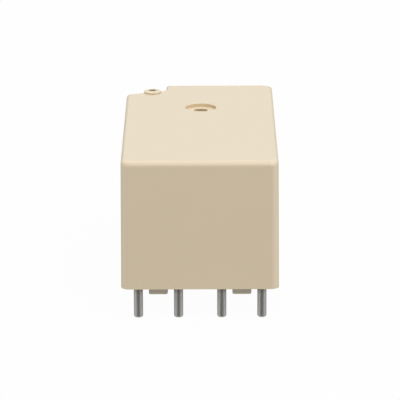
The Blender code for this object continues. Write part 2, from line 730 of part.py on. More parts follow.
def make_common_carriers():
    foot_z = BASE_TOP_Z + FIT + CARRIER_THICKNESS / 2
    shelf_z = COMMON_SHELF_TOP_Z - CARRIER_THICKNESS / 2
    blade_x = CAVITY_X - CARRIER_WALL_GAP - CARRIER_THICKNESS / 2
    foot_x = OUTER_PIN_X - PIN_RADIUS - CARRIER_FOOT_MARGIN
    shelf_x = blade_x + CARRIER_THICKNESS / 2 - COMMON_SHELF_LENGTH
    path = [(foot_x, foot_z), (blade_x, foot_z), (blade_x, shelf_z), (shelf_x, shelf_z)]
    outline = bent_strip(path, CARRIER_THICKNESS, CARRIER_BEND_RADIUS)
    for side_name, side in SIDES.items():
        mesh = prism(mirrored_x(outline, side), -COMMON_CARRIER_WIDTH / 2, COMMON_CARRIER_WIDTH / 2, "Y")
        carrier = add_object(f"middle_{side_name}_carrier", mesh, brass_sheet())
        cut(carrier, hole_cutter(side * OUTER_PIN_X, 0.0, foot_z, TENON_RADIUS + FIT))


def fixed_contact():
    """A rivet through the shelf: head above, closed tail below. Its origin is on the shelf's top."""
    top = FIT + FIXED_CONTACT_HEIGHT
    rim = arc((FIXED_CONTACT_RADIUS - CONTACT_EDGE_RADIUS, top - CONTACT_EDGE_RADIUS),
              CONTACT_EDGE_RADIUS, 0, 90, 3)
    tail_top = -CARRIER_THICKNESS - FIT
    tail_bottom = tail_top - RIVET_TAIL_HEIGHT
    return turned([(0.0, tail_bottom), (RIVET_SHANK_RADIUS, tail_bottom), (RIVET_TAIL_RADIUS, tail_top),
                   (RIVET_SHANK_RADIUS, tail_top), (RIVET_SHANK_RADIUS, FIT),
                   (FIXED_CONTACT_RADIUS, FIT)] + rim + [(0.0, top)], SMALL_ROUND_FACES)


def make_fixed_contacts():
    for side_name, side in SIDES.items():
        for end_name, end in ENDS.items():
            place = (side * CONTACT_X, end * CONTACT_Y, SHELF_TOP_Z)
            add_object(f"{end_name}_{side_name}_fixed_contact", fixed_contact(), contact_silver(), place)


# Coil, core and magnet

def make_core():
    """One iron bar bent up at both ends, its two upper faces being the poles."""
    bar_low = COIL_Z - CORE_HALF_Z
    bar_high = COIL_Z + CORE_HALF_Z
    turn = arc((POLE_OUTER_Y - CORE_BEND_RADIUS, bar_low + CORE_BEND_RADIUS), CORE_BEND_RADIUS,
               -90, 0, QUARTER_FACES)
    half = turn + [(POLE_OUTER_Y, POLE_TOP_Z), (POLE_INNER_Y, POLE_TOP_Z), (POLE_INNER_Y, bar_high)]
    outline = half + mirrored_x(half, -1)
    add_object("core", prism(outline, -CORE_HALF_X, CORE_HALF_X, "X"), plated_iron())


def flange_outline():
    """A flange seen from the end: a plate with two ears that hold the magnet between them."""
    ear_top = MAGNET_SEAT_Z + FLANGE_EAR_HEIGHT
    ear_x = CORE_HALF_X + FIT
    return [(-FLANGE_X, COIL_BOTTOM_Z), (FLANGE_X, COIL_BOTTOM_Z), (FLANGE_X, ear_top), (ear_x, ear_top),
            (ear_x, MAGNET_SEAT_Z), (-ear_x, MAGNET_SEAT_Z), (-ear_x, ear_top), (-FLANGE_X, ear_top)]


def wrap_section(inset):
    """The wrapped coil's outline seen from the end, drawn in by a distance."""
    return rounded_rectangle(WRAPPED_COIL_HALF_X - inset, WRAPPED_COIL_HALF_Z - inset,
                             WRAP_CORNER_RADIUS - inset, (0.0, COIL_Z))


def barrel_section(gap):
    """The bobbin's barrel seen from the end, or the winding's bore at a gap from it."""
    grow = FIT + BOBBIN_WALL + gap
    return rounded_rectangle(CORE_HALF_X + grow, CORE_HALF_Z + grow, BOBBIN_WALL + gap, (0.0, COIL_Z))


def make_bobbin():
    reach = FLANGE_INNER_Y + FLANGE_THICKNESS / 2
    bobbin = add_object("bobbin", prism(barrel_section(0.0), -reach, reach, "Y"), bobbin_plastic())
    flanges = [prism(flange_outline(), *sorted((end * FLANGE_INNER_Y, end * FLANGE_OUTER_Y)), "Y")
               for end in ENDS.values()]
    join(bobbin, join_meshes(flanges))
    hole_x = CORE_HALF_X + FIT
    hole_z = CORE_HALF_Z + FIT
    hole = rectangle(-hole_x, COIL_Z - hole_z, hole_x, COIL_Z + hole_z)
    cut(bobbin, prism(hole, -FLANGE_OUTER_Y - CUT_OVERRUN, FLANGE_OUTER_Y + CUT_OVERRUN, "Y"))
    slots = []
    for side in SIDES.values():
        slot_x = side * LEAD_SLOT_X
        slots.append(block((slot_x - LEAD_SLOT_WIDTH / 2, -FLANGE_OUTER_Y - CUT_OVERRUN,
                            COIL_BOTTOM_Z - CUT_OVERRUN),
                           (slot_x + LEAD_SLOT_WIDTH / 2, -FLANGE_INNER_Y + FLANGE_THICKNESS / 2,
                            COIL_BOTTOM_Z + LEAD_SLOT_HEIGHT)))
    cut(bobbin, join_meshes(slots))


def sleeve(name, material, outside, inside):
    """A rounded rectangular tube round the coil's axis, between the flanges."""
    half_length = FLANGE_INNER_Y - FIT
    item = add_object(name, prism(outside, -half_length, half_length, "Y"), material)
    cut(item, prism(inside, -half_length - CUT_OVERRUN, half_length + CUT_OVERRUN, "Y"))


def make_winding():
    sleeve("winding", enamelled_wire(), wrap_section(WRAP_THICKNESS + FIT), barrel_section(FIT))
    sleeve("coil_wrap", wrap_tape(), wrap_section(0.0), wrap_section(WRAP_THICKNESS))


def make_magnet():
    half_length = POLE_INNER_Y - FIT
    outline = rectangle(-CORE_HALF_X, MAGNET_SEAT_Z + FIT, CORE_HALF_X, MAGNET_TOP_Z)
    magnet = add_object("magnet", prism(outline, -half_length, half_length, "Y"), magnet_alloy())
    bevel_edges(magnet, MAGNET_EDGE)


def lead_points(side):
    """From the winding through the flange's slot to the coil pin, then round its post."""
    coil_radius = COIL_POST_RADIUS + FIT + LEAD_RADIUS
    base_z = BASE_TOP_Z + PIN_COLLAR_HEIGHT + FIT + LEAD_RADIUS
    slot_z = COIL_BOTTOM_Z + LEAD_SLOT_HEIGHT / 2
    start_y = -FLANGE_INNER_Y - LEAD_RADIUS
    points = [(LEAD_SLOT_X, start_y, slot_z), (LEAD_SLOT_X, -FLANGE_OUTER_Y - 2 * LEAD_RADIUS, slot_z)]
    turns_start = base_z + LEAD_PITCH
    points.append((COIL_PIN_X + coil_radius, -PIN_ROW_Y + COIL_POST_HEIGHT / 2, turns_start))
    steps = 10 * LEAD_TURNS
    for step in range(steps + 1):
        angle = -math.tau * LEAD_TURNS * step / steps
        points.append((COIL_PIN_X + coil_radius * math.cos(angle),
                       -PIN_ROW_Y + coil_radius * math.sin(angle),
                       turns_start + LEAD_PITCH * LEAD_TURNS * step / steps))
    return [(side * x, y, z) for x, y, z in points]


def make_leads():
    for side_name, side in SIDES.items():
        curve = bpy.data.curves.new(f"coil_{side_name}_lead", "CURVE")
        curve.dimensions = "3D"
        curve.bevel_depth = LEAD_RADIUS
        curve.bevel_resolution = 1
        curve.use_fill_caps = True
        points = lead_points(side)
        spline = curve.splines.new("POLY")
        spline.points.add(len(points) - 1)
        for point, place in zip(spline.points, points):
            point.co = (*place, 1.0)
        curve.materials.append(enamelled_wire())
        lead = bpy.data.objects.new(f"coil_{side_name}_lead", curve)
        bpy.context.collection.objects.link(lead)


# Rocking armature, modelled level about its axis and tilted by its parent

def make_axis():
    axis = bpy.data.objects.new("armature_axis", None)
    axis.location = (0.0, 0.0, AXIS_Z)
    axis.rotation_euler = (-ARMATURE_TILT, 0.0, 0.0)
    bpy.context.collection.objects.link(axis)
    return axis


def peg_shapes(radius, bottom, top):
    profile = [(0.0, bottom), (radius, bottom), (radius, top), (0.0, top)]
    return join_meshes([moved(turned(profile, SMALL_ROUND_FACES), (0.0, end * PEG_SPACING / 2, 0.0))
                        for end in ENDS.values()])


def make_armature_plate(axis):
    half_length = POLE_OUTER_Y + ARMATURE_OVERHANG
    outline = rounded_rectangle(ARMATURE_HALF_X, half_length, ARMATURE_CORNER_RADIUS)
    plate = add_object("armature_plate", prism(outline, 0.0, ARMATURE_THICKNESS), plated_iron(),
                       parent=axis)
    bevel_edges(plate, ARMATURE_EDGE)
    fulcrum = arc((0.0, 0.0), FULCRUM_RADIUS, 180, 360, 10)
    fulcrum += [(FULCRUM_RADIUS, ARMATURE_THICKNESS / 2), (-FULCRUM_RADIUS, ARMATURE_THICKNESS / 2)]
    join(plate, prism(fulcrum, -CORE_HALF_X, CORE_HALF_X, "X"))
    cut(plate, peg_shapes(PEG_RADIUS + FIT, -CUT_OVERRUN, ARMATURE_THICKNESS + CUT_OVERRUN))


def moulding_outline():
    """The moulding seen from the end: a hump over the plate and an arm out to each spring."""
    channel_x = ARMATURE_HALF_X + FIT
    channel_top = ARMATURE_THICKNESS + FIT
    hump_top = channel_top + MOULDING_COVER_THICKNESS
    hump_x = channel_x + MOULDING_WALL
    half = [(channel_x, -MOULDING_ARM_BELOW), (MOULDING_END_X, -MOULDING_ARM_BELOW),
            (MOULDING_END_X, MOULDING_ARM_ABOVE), (hump_x + MOULDING_HUMP_SLOPE, MOULDING_ARM_ABOVE),
            (hump_x, hump_top)]
    return [(channel_x, channel_top)] + half + mirrored_x(half, -1) + [(-channel_x, channel_top)]


def make_moulding(axis):
    mesh = prism(moulding_outline(), -MOULDING_LENGTH / 2, MOULDING_LENGTH / 2, "Y")
    moulding = add_object("armature_moulding", mesh, black_plastic(), parent=axis)
    bevel_edges(moulding, ARMATURE_EDGE - FIT)
    half_slot = SPRING_THICKNESS / 2 + FIT
    slots = []
    for side in SIDES.values():
        inner = CONTACT_X - SPRING_WIDTH / 2 - FIT
        low_x, high_x = sorted((side * inner, side * (MOULDING_END_X + CUT_OVERRUN)))
        reach = MOULDING_LENGTH / 2 + CUT_OVERRUN
        slots.append(block((low_x, -reach, -half_slot), (high_x, reach, half_slot)))
    cut(moulding, join_meshes(slots))
    join(moulding, peg_shapes(PEG_RADIUS, FULCRUM_RADIUS / 2,
                              ARMATURE_THICKNESS + FIT + MOULDING_COVER_THICKNESS / 2))


def spring_outline(side):
    """A leaf with round ends under the contacts, a narrower waist and a hinge arm at its middle."""
    root_y = MOULDING_LENGTH / 2
    tip_radius = SPRING_WIDTH / 2
    waist = SPRING_WAIST_WIDTH / 2
    neck_y = CONTACT_Y - math.sqrt(max(tip_radius ** 2 - waist ** 2, 0.0))
    arm_x = CAVITY_X - HINGE_ARM_GAP - CONTACT_X
    arm_y = HINGE_ARM_WIDTH / 2
    inner = [(-waist, neck_y), (-waist, root_y + tip_radius), (-tip_radius, root_y)]
    inner += [(-tip_radius, -root_y), (-waist, -root_y - tip_radius), (-waist, -neck_y)]
    outer = [(waist, -neck_y), (waist, -root_y - tip_radius), (tip_radius, -root_y), (tip_radius, -arm_y)]
    outer += [(arm_x, -arm_y), (arm_x, arm_y), (tip_radius, arm_y), (tip_radius, root_y)]
    outer += [(waist, root_y + tip_radius), (waist, neck_y)]
    neck_angle = math.degrees(math.acos(min(waist / tip_radius, 1.0)))
    front_tip = arc((0.0, -CONTACT_Y), tip_radius, 180 - neck_angle, 360 + neck_angle, 12)[1:-1]
    back_tip = arc((0.0, CONTACT_Y), tip_radius, -neck_angle, 180 + neck_angle, 12)[1:-1]
    outline = inner + front_tip + outer + back_tip
    return [(side * CONTACT_X + u, v) for u, v in mirrored_x(outline, side)]


def make_springs(axis):
    half = SPRING_THICKNESS / 2
    for side_name, side in SIDES.items():
        spring = add_object(f"{side_name}_contact_spring", prism(spring_outline(side), -half, half),
                            spring_copper(), parent=axis)
        holes = [hole_cutter(side * CONTACT_X, end * CONTACT_Y, 0.0, RIVET_SHANK_RADIUS + FIT)
                 for end in ENDS.values()]
        cut(spring, join_meshes(holes))


def moving_contact():
    """A rivet through the leaf: domed head below, closed tail above. Its origin is in the leaf."""
    head_top = -SPRING_THICKNESS / 2 - FIT
    edge_z = head_top - MOVING_CONTACT_HEIGHT
    ball = (MOVING_CONTACT_RADIUS ** 2 + MOVING_CONTACT_DOME ** 2) / (2 * MOVING_CONTACT_DOME)
    spread = math.degrees(math.asin(MOVING_CONTACT_RADIUS / ball))
    centre_z = edge_z - MOVING_CONTACT_DOME + ball
    dome = arc((0.0, centre_z), ball, -90, -90 + spread, 4)
    tail_bottom = SPRING_THICKNESS / 2 + FIT
    tail_top = tail_bottom + RIVET_TAIL_HEIGHT
    return turned(dome + [(MOVING_CONTACT_RADIUS, head_top), (RIVET_SHANK_RADIUS, head_top),
                          (RIVET_SHANK_RADIUS, tail_bottom), (RIVET_TAIL_RADIUS, tail_bottom),
                          (RIVET_SHANK_RADIUS, tail_top), (0.0, tail_top)], SMALL_ROUND_FACES)


def make_moving_contacts(axis):
    for side_name, side in SIDES.items():
        for end_name, end in ENDS.items():
            place = (side * CONTACT_X, end * CONTACT_Y, 0.0)
            add_object(f"{end_name}_{side_name}_moving_contact", moving_contact(), contact_silver(),
                       place, axis)


def make_relay():
    clear_scene()
    make_cover()
    make_base()
    make_resin()
    make_pins()
    make_end_carriers()
    make_common_carriers()
    make_fixed_contacts()
    make_core()
    make_bobbin()
    make_winding()
    make_magnet()
    make_leads()
    axis = make_axis()
    make_armature_plate(axis)
    make_moulding(axis)
    make_springs(axis)
    make_moving_contacts(axis)


make_relay()
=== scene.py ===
"""Looks of a sealed relay for a printed circuit board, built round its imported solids.

Sizes are in metres and +Z is up. The short end with the row of four pins faces -Y.
"""

import math

import bmesh
import bpy
from mathutils import Matrix, Vector


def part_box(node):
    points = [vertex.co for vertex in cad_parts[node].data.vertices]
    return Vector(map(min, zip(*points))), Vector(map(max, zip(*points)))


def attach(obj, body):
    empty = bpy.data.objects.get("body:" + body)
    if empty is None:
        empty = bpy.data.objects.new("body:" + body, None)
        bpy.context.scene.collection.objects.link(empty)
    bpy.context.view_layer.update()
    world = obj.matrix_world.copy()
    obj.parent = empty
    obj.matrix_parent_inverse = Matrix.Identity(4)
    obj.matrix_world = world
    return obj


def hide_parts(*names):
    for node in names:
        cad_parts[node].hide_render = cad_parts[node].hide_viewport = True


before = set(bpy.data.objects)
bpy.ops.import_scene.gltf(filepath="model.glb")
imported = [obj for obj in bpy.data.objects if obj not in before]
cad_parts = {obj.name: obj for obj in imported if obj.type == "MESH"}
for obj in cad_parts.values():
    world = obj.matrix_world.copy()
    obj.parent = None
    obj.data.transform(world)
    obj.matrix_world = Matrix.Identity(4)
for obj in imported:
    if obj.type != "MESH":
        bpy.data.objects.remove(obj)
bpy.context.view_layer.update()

MM = 0.001

cover_low, cover_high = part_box("cover")
RIM_Z = cover_low.z
NIB_RISE = 0.27 * MM
COVER_TOP_Z = cover_high.z - NIB_RISE
COVER_HALF_X = cover_high.x
COVER_HALF_Y = cover_high.y

COVER_WALL = 1.2 * MM
COVER_DRAFT = 0.14 * MM
COVER_CORNER_RADIUS = 1.3 * MM
COVER_TOP_END_RADIUS = 1.0 * MM
COVER_TOP_SIDE_RADIUS = 0.6 * MM
RIM_EDGE_RADIUS = 0.06 * MM
CAVITY_CORNER_RADIUS = 0.5 * MM
STEP_WIDTH = 7.0 * MM
STEP_LENGTH = 6.75 * MM
STEP_SLANT = math.radians(21.0)
STEP_DEPTH = 2.4 * MM
STEP_CORNER_RADIUS = 0.9 * MM
STEP_EDGE_RADIUS = 0.45 * MM
NIB_RADIUS = 1.5 * MM
NIB_SIDE_INSET = 4.6 * MM
NIB_BACK_INSET = 5.55 * MM
NIB_EDGE_RADIUS = 0.12 * MM
VENT_EDGE_RADIUS = 0.06 * MM
VENT_RADIUS = 0.65 * MM
VENT_DEPTH = 1.0 * MM
VENT_SHIFT_BACK = 0.5 * MM
RECESS_X = 0.2 * MM
RECESS_Y = 9.3 * MM
RECESS_RADIUS = 2.6 * MM
RECESS_DEPTH = 0.53 * MM
RECESS_EDGE_RADIUS = 0.14 * MM
GATE_RADIUS = 1.15 * MM
GATE_DEPTH = 1.0 * MM
GATE_EDGE_RADIUS = 0.1 * MM
RESIN_RECESS = 0.1 * MM
RESIN_AND_BASE_HEIGHT = 2.85 * MM
FOOT_DROP = 1.4 * MM
FOOT_X = 6.79 * MM
FOOT_WIDTH = 2.98 * MM
FOOT_LENGTH = 2.5 * MM
FOOT_END_INSET = 1.6 * MM
FOOT_EDGE_RADIUS = 0.28 * MM
FOOT_SKIN = 0.006 * MM
FOOT_SIDE_SKIN = 0.05 * MM
PIN_RADIUS = 0.75 * MM
PIN_TIP_RADIUS = 0.35 * MM
TENON_RADIUS = 0.55 * MM
STAKE_HEIGHT = 0.3 * MM
COIL_COLLAR_HEIGHT = 0.5 * MM
COIL_POST_RADIUS = 0.5 * MM
POST_EDGE_RADIUS = 0.1 * MM
CREEP_REACH = 0.55 * MM
CREEP_DROP = 0.45 * MM
CREEP_ROOT = 0.1 * MM
CREEP_GAP = 0.01 * MM
ROOT_SHADE_FADE = 0.8 * MM
ROUND_STEPS = 48

STEP_FLOOR_Z = COVER_TOP_Z - STEP_DEPTH
NIB_TOP_Z = COVER_TOP_Z + NIB_RISE
NIB_X = -COVER_HALF_X + NIB_SIDE_INSET
NIB_Y = COVER_HALF_Y - NIB_BACK_INSET
RECESS_FLOOR_Z = COVER_TOP_Z - RECESS_DEPTH
RESIN_BOTTOM_Z = RIM_Z + RESIN_RECESS
BASE_TOP_Z = RESIN_BOTTOM_Z + RESIN_AND_BASE_HEIGHT
COIL_SHOULDER_Z = BASE_TOP_Z + COIL_COLLAR_HEIGHT
FEET_Z = RIM_Z - FOOT_DROP


# Camera, as the picture was taken: nearly square to the short end and looking a little down

CAMERA_PLACE = (0.626 * MM, -475.109 * MM, 155.455 * MM)
CAMERA_PITCH = math.radians(16.666)
CAMERA_YAW = math.radians(-0.0743)
CAMERA_ROLL = math.radians(-0.2256)
SENSOR_WIDTH = 36.0
FOCAL_PIXELS = 2930.9
PICTURE_PIXELS = 400
CLIP_NEAR = 0.01
CLIP_FAR = 20.0


def add_camera():
    data = bpy.data.cameras.new("camera")
    data.sensor_width = SENSOR_WIDTH
    data.lens = FOCAL_PIXELS / PICTURE_PIXELS * SENSOR_WIDTH
    data.clip_start = CLIP_NEAR
    data.clip_end = CLIP_FAR
    forward = Vector((math.sin(CAMERA_YAW) * math.cos(CAMERA_PITCH),
                      math.cos(CAMERA_YAW) * math.cos(CAMERA_PITCH), -math.sin(CAMERA_PITCH)))
    level_right = Vector((math.cos(CAMERA_YAW), -math.sin(CAMERA_YAW), 0.0))
    level_up = level_right.cross(forward)
    right = math.cos(CAMERA_ROLL) * level_right + math.sin(CAMERA_ROLL) * level_up
    up = math.cos(CAMERA_ROLL) * level_up - math.sin(CAMERA_ROLL) * level_right
    camera = bpy.data.objects.new("camera", data)
    camera.matrix_world = Matrix((
        (right.x, up.x, -forward.x, CAMERA_PLACE[0]),
        (right.y, up.y, -forward.y, CAMERA_PLACE[1]),
        (right.z, up.z, -forward.z, CAMERA_PLACE[2]),
        (0.0, 0.0, 0.0, 1.0),
    ))
    bpy.context.scene.collection.objects.link(camera)
    bpy.context.scene.camera = camera


# Colours, as linear red, green and blue

IVORY = (0.68, 0.565, 0.39)
# Painted shade for the recess wall, gate, nib wall and vent, and painted light for the recess
# floor
RECESS_WALL_PAINTED_SHADE = (0.68, 0.54, 0.33)
RECESS_FLOOR_PAINTED_LIGHT = (0.74, 0.6, 0.4)
GATE_PAINTED_SHADE = (0.55, 0.42, 0.24)
NIB_WALL_PAINTED_SHADE = (0.62, 0.5, 0.32)
VENT_PAINTED_SHADE = (0.5, 0.4, 0.26)
BASE_GREY = (0.44, 0.4, 0.32)
MOULDING_BLACK = (0.022, 0.022, 0.024)
BOBBIN_GREY = (0.5, 0.5, 0.46)
TIN_SHADE = (0.315, 0.31, 0.293)
TIN_SHINE = (0.43, 0.42, 0.4)
TIN_GRAIN = (0.333, 0.324, 0.304)
# Painted shade for the pins' upper part, under the body
ROOT_PAINTED_SHADE = (0.2, 0.16, 0.11)
RESIN_DARK = (0.2, 0.165, 0.1)
RESIN_LIGHT = (0.3, 0.255, 0.165)
RESIN_BUBBLE = (0.42, 0.37, 0.26)
# Painted shade for the gaps between the coil's turns
ENAMEL_GAP_SHADE = (0.16, 0.035, 0.012)
ENAMEL_CREST = (0.6, 0.19, 0.08)
ENAMEL_CLOUD = (0.42, 0.1, 0.035)
TAPE_DARK = (0.42, 0.2, 0.02)
TAPE_LIGHT = (0.66, 0.38, 0.06)
TAPE_LAP = (0.36, 0.15, 0.012)
MAGNET_DARK = (0.07, 0.07, 0.075)
MAGNET_LIGHT = (0.21, 0.21, 0.22)
SILVER_BRIGHT = (0.86, 0.85, 0.81)
SILVER_TARNISH = (0.62, 0.57, 0.48)
BRASS = (0.74, 0.56, 0.27)
SPRING_COPPER = (0.78, 0.43, 0.27)
PLATED_IRON = (0.56, 0.56, 0.54)


# Node trees

WAVE_LENGTH = 0.314  # of the wave texture at a scale of 1


class Wire:
    """An output of a node, on which plain arithmetic adds the Math nodes that it needs."""

    def __init__(self, tree, socket):
        self.tree = tree
        self.socket = socket

    def _worked_out(self, operation, *terms):
        made = self.tree.node("ShaderNodeMath", {"operation": operation}, dict(enumerate(terms)))
        return made["Value"]

    def __add__(self, other):
        return self._worked_out("ADD", self, other)

    __radd__ = __add__

    def __sub__(self, other):
        return self._worked_out("SUBTRACT", self, other)

    def __rsub__(self, other):
        return self._worked_out("SUBTRACT", other, self)

    def __mul__(self, other):
        return self._worked_out("MULTIPLY", self, other)

    __rmul__ = __mul__

    def clamped(self):
        return self.tree.node("ShaderNodeClamp", {}, {"Value": self})["Result"]


class Tree:
    """A node tree of a material or of the world, filled from one method."""

    def __init__(self, owner):
        owner.use_nodes = True
        self.nodes = owner.node_tree.nodes
        self.links = owner.node_tree.links

    def feed(self, socket, value):
        if isinstance(value, Wire):
            self.links.new(value.socket, socket)
        elif isinstance(value, (tuple, list)) and len(value) == 3 and socket.type == "RGBA":
            socket.default_value = (*value, 1.0)
        else:
            socket.default_value = value

    def node(self, kind, settings, inputs):
        """Adds a node and returns its outputs by name. Its settings are set before its inputs."""
        made = self.nodes.new(kind)
        for setting, value in settings.items():
            setattr(made, setting, value)
        for key, value in inputs.items():
            self.feed(made.inputs[key], value)
        return {output.name: Wire(self, output) for output in made.outputs if output.enabled}


class Finish(Tree):
    """A procedural material on Object coordinates. Its even values are the same all over."""

    def __init__(self, name, roughness, metallic=0.0, **even):
        self.material = bpy.data.materials.new(name)
        super().__init__(self.material)
        self.shader = self.nodes["Principled BSDF"]
        self.place = self.node("ShaderNodeTexCoord", {}, {})["Object"]
        self.set("Roughness", roughness)
        self.set("Metallic", metallic)
        for socket, value in even.items():
            self.set(socket.replace("_", " ").title().replace("Ior", "IOR"), value)

    def set(self, socket, value):
        self.feed(self.shader.inputs[socket], value)

    def stretched(self, scale):
        """Object coordinates stretched along their axes, for grain that runs one way."""
        return self.node("ShaderNodeMapping", {}, {"Vector": self.place, "Scale": scale})["Vector"]

    def height(self):
        return self.node("ShaderNodeSeparateXYZ", {}, {"Vector": self.place})["Z"]

    def noise(self, size, detail, place=None, roughness=0.5):
        """Soft noise from 0 to 1 whose patches are about as wide as size, in metres."""
        return self.node("ShaderNodeTexNoise", {}, {
            "Vector": place or self.place, "Scale": 1.0 / size, "Detail": detail,
            "Roughness": roughness})["Fac"]

    def bands(self, width, inputs, **settings):
        """Bands from 0 to 1 that follow each other along Y, each as wide as given, in metres."""
        return self.node("ShaderNodeTexWave", {
            "wave_type": "BANDS", "bands_direction": "Y", **settings}, {
            "Vector": self.place, "Scale": WAVE_LENGTH / width, **inputs})["Fac"]

    def mix(self, factor, first, second):
        made = self.node("ShaderNodeMix", {"data_type": "RGBA"},
                         {"Factor": factor, 6: first, 7: second})
        return made["Result"]

    def bump(self, height, distance, strength, under=None):
        """A bump of the given depth in metres, over another bump where one is given."""
        inputs = {"Strength": strength, "Distance": distance, "Height": height}
        if under is not None:
            inputs["Normal"] = under
        return self.node("ShaderNodeBump", {}, inputs)["Normal"]


def shades(colour, share):
    """A colour made darker and lighter by a share of itself."""
    return tuple(c * (1 - share) for c in colour), tuple(c * (1 + share) for c in colour)


def moulded_plastic(name, colour, roughness, speckle=0.02, sheen=0.5):
    """Moulded plastic: fine matt grain, faint clouds in the colour and a slightly uneven sheen."""
    finish = Finish(name, roughness, specular_ior_level=sheen)
    clouds = finish.noise(7 * MM, 3.0)
    fine = finish.noise(0.16 * MM, 3.0, roughness=0.6)
    darker, lighter = shades(colour, speckle)
    finish.set("Base Color", finish.mix((0.55 * clouds + 0.45 * fine).clamped(), darker, lighter))
    finish.set("Roughness", roughness - 0.05 + 0.06 * clouds + 0.06 * fine)
    waves = finish.bump(finish.noise(11 * MM, 1.0), 0.02 * MM, 0.5)
    finish.set("Normal", finish.bump(fine, 0.006 * MM, 0.6, waves))
    return finish


MASK_EDGE = 0.04 * MM


def hollow(finish, centre, radius, height):
    """1 near an upright axis and below a height, and 0 elsewhere, with soft borders."""
    flat = finish.node("ShaderNodeVectorMath", {"operation": "MULTIPLY"},
                       {0: finish.place, 1: (1.0, 1.0, 0.0)})["Vector"]
    distance = finish.node("ShaderNodeVectorMath", {"operation": "DISTANCE"},
                           {0: flat, 1: (*centre, 0.0)})["Value"]
    inside = ((radius - distance) * (1.0 / MASK_EDGE) + 0.5).clamped()
    return inside * ((height - finish.height()) * (1.0 / MASK_EDGE) + 0.5).clamped()


def cover_plastic_with_painted_shading():
    """The cover's plastic, with painted shade on the recess wall, in the gate, on the nib's wall
    and in the vent, and painted light on the recess floor.
    """
    finish = moulded_plastic("ivory_plastic", IVORY, 0.4, sheen=1.0)
    recess = (RECESS_X, RECESS_Y)
    nib = (NIB_X, NIB_Y)
    vent = (NIB_X, NIB_Y + VENT_SHIFT_BACK)
    colour = Wire(finish, finish.shader.inputs["Base Color"].links[0].from_socket)
    # Painted shade and painted light, mixed in by position over the cover's own colour
    for centre, radius, height, painted_shading in (
        (recess, RECESS_RADIUS + 0.1 * MM, COVER_TOP_Z - 0.1 * MM, RECESS_WALL_PAINTED_SHADE),
        (recess, RECESS_RADIUS - 0.08 * MM, COVER_TOP_Z, RECESS_FLOOR_PAINTED_LIGHT),
        (recess, GATE_RADIUS + 0.05 * MM, RECESS_FLOOR_Z - 0.05 * MM, GATE_PAINTED_SHADE),
        (nib, NIB_RADIUS + 0.03 * MM, NIB_TOP_Z - 0.08 * MM, NIB_WALL_PAINTED_SHADE),
        (vent, VENT_RADIUS + 0.03 * MM, NIB_TOP_Z - 0.05 * MM, VENT_PAINTED_SHADE),
    ):
        colour = finish.mix(hollow(finish, centre, radius, height), colour, painted_shading)
    finish.set("Base Color", colour)
    return finish


def drawn_metal(name, colour, roughness, scale):
    """Metal with fine lines that run along the axis whose scale is the smallest."""
    finish = Finish(name, roughness, 1.0)
    lines = finish.noise(MM, 3.0, finish.stretched(scale), 0.65)
    clouds = finish.noise(2.2 * MM, 3.0)
    darker, lighter = shades(colour, 0.14)
    finish.set("Base Color", finish.mix((0.6 * lines + 0.4 * clouds).clamped(), darker, lighter))
    finish.set("Roughness", roughness - 0.08 + 0.1 * lines + 0.08 * clouds)
    finish.set("Normal", finish.bump(lines, 0.003 * MM, 0.5))
    return finish


def tinned_copper():
    """Tin over copper: soft vertical runs, small dull grains, and painted shade that turns the
    pins darker and browner towards the root under the body.
    """
    finish = Finish("tinned_copper", 0.38, 1.0)
    runs = finish.noise(MM, 3.0, finish.stretched((4.0, 4.0, 0.35)), 0.6)
    grains = finish.noise(0.12 * MM, 2.0)
    colour = finish.mix((1.3 * runs - 0.15).clamped(), TIN_SHADE, TIN_SHINE)
    colour = finish.mix((0.5 * grains).clamped(), colour, TIN_GRAIN)
    # Painted shade: darker and browner from the feet's level up to the root, under the body
    root_shade = ((finish.height() - FEET_Z) * (1 / ROOT_SHADE_FADE) + 0.5 * runs).clamped()
    finish.set("Base Color", finish.mix(0.6 * root_shade, colour, ROOT_PAINTED_SHADE))
    finish.set("Roughness", 0.27 + 0.18 * runs + 0.08 * grains)
    finish.set("Normal", finish.bump(grains, 0.004 * MM, 0.4, finish.bump(runs, 0.02 * MM, 0.5)))
    return finish


def epoxy():
    """Sealing resin: cloudy and glossy, with small bubbles just under a gently uneven skin."""
    finish = Finish("epoxy", 0.25, coat_weight=0.4)
    clouds = finish.noise(3.5 * MM, 4.0)
    bubbles = finish.node("ShaderNodeTexVoronoi", {}, {
        "Vector": finish.place, "Scale": 1.0 / (0.9 * MM), "Randomness": 1.0})["Distance"]
    spots = (1 - 6.0 * bubbles).clamped()
    base = finish.mix(clouds, RESIN_DARK, RESIN_LIGHT)
    finish.set("Base Color", finish.mix(0.5 * spots, base, RESIN_BUBBLE))
    finish.set("Roughness", 0.2 + 0.15 * clouds)
    skin = finish.bump(finish.noise(2.6 * MM, 2.0), 0.12 * MM, 0.8)
    finish.set("Normal", finish.bump(spots, 0.02 * MM, 0.5, skin))
    return finish


def enamelled_wire():
    """Coil wire laid in close turns about the coil's long axis, under clear red enamel, with
    painted shade in the gaps between the turns.
    """
    finish = Finish("enamelled_wire", 0.28, 0.7, coat_weight=0.5)
    turns = finish.bands(0.18 * MM, {"Distortion": 0.6, "Detail": 1.0, "Detail Scale": 0.4})
    clouds = finish.noise(1.5 * MM, 3.0)
    # Painted shade in the gaps between turns, lighter on their crests
    shaded_turns = finish.mix(turns, ENAMEL_GAP_SHADE, ENAMEL_CREST)
    finish.set("Base Color", finish.mix(0.35 * clouds, shaded_turns, ENAMEL_CLOUD))
    finish.set("Roughness", 0.22 + 0.14 * clouds)
    finish.set("Normal", finish.bump(turns, 0.05 * MM, 0.9))
    return finish


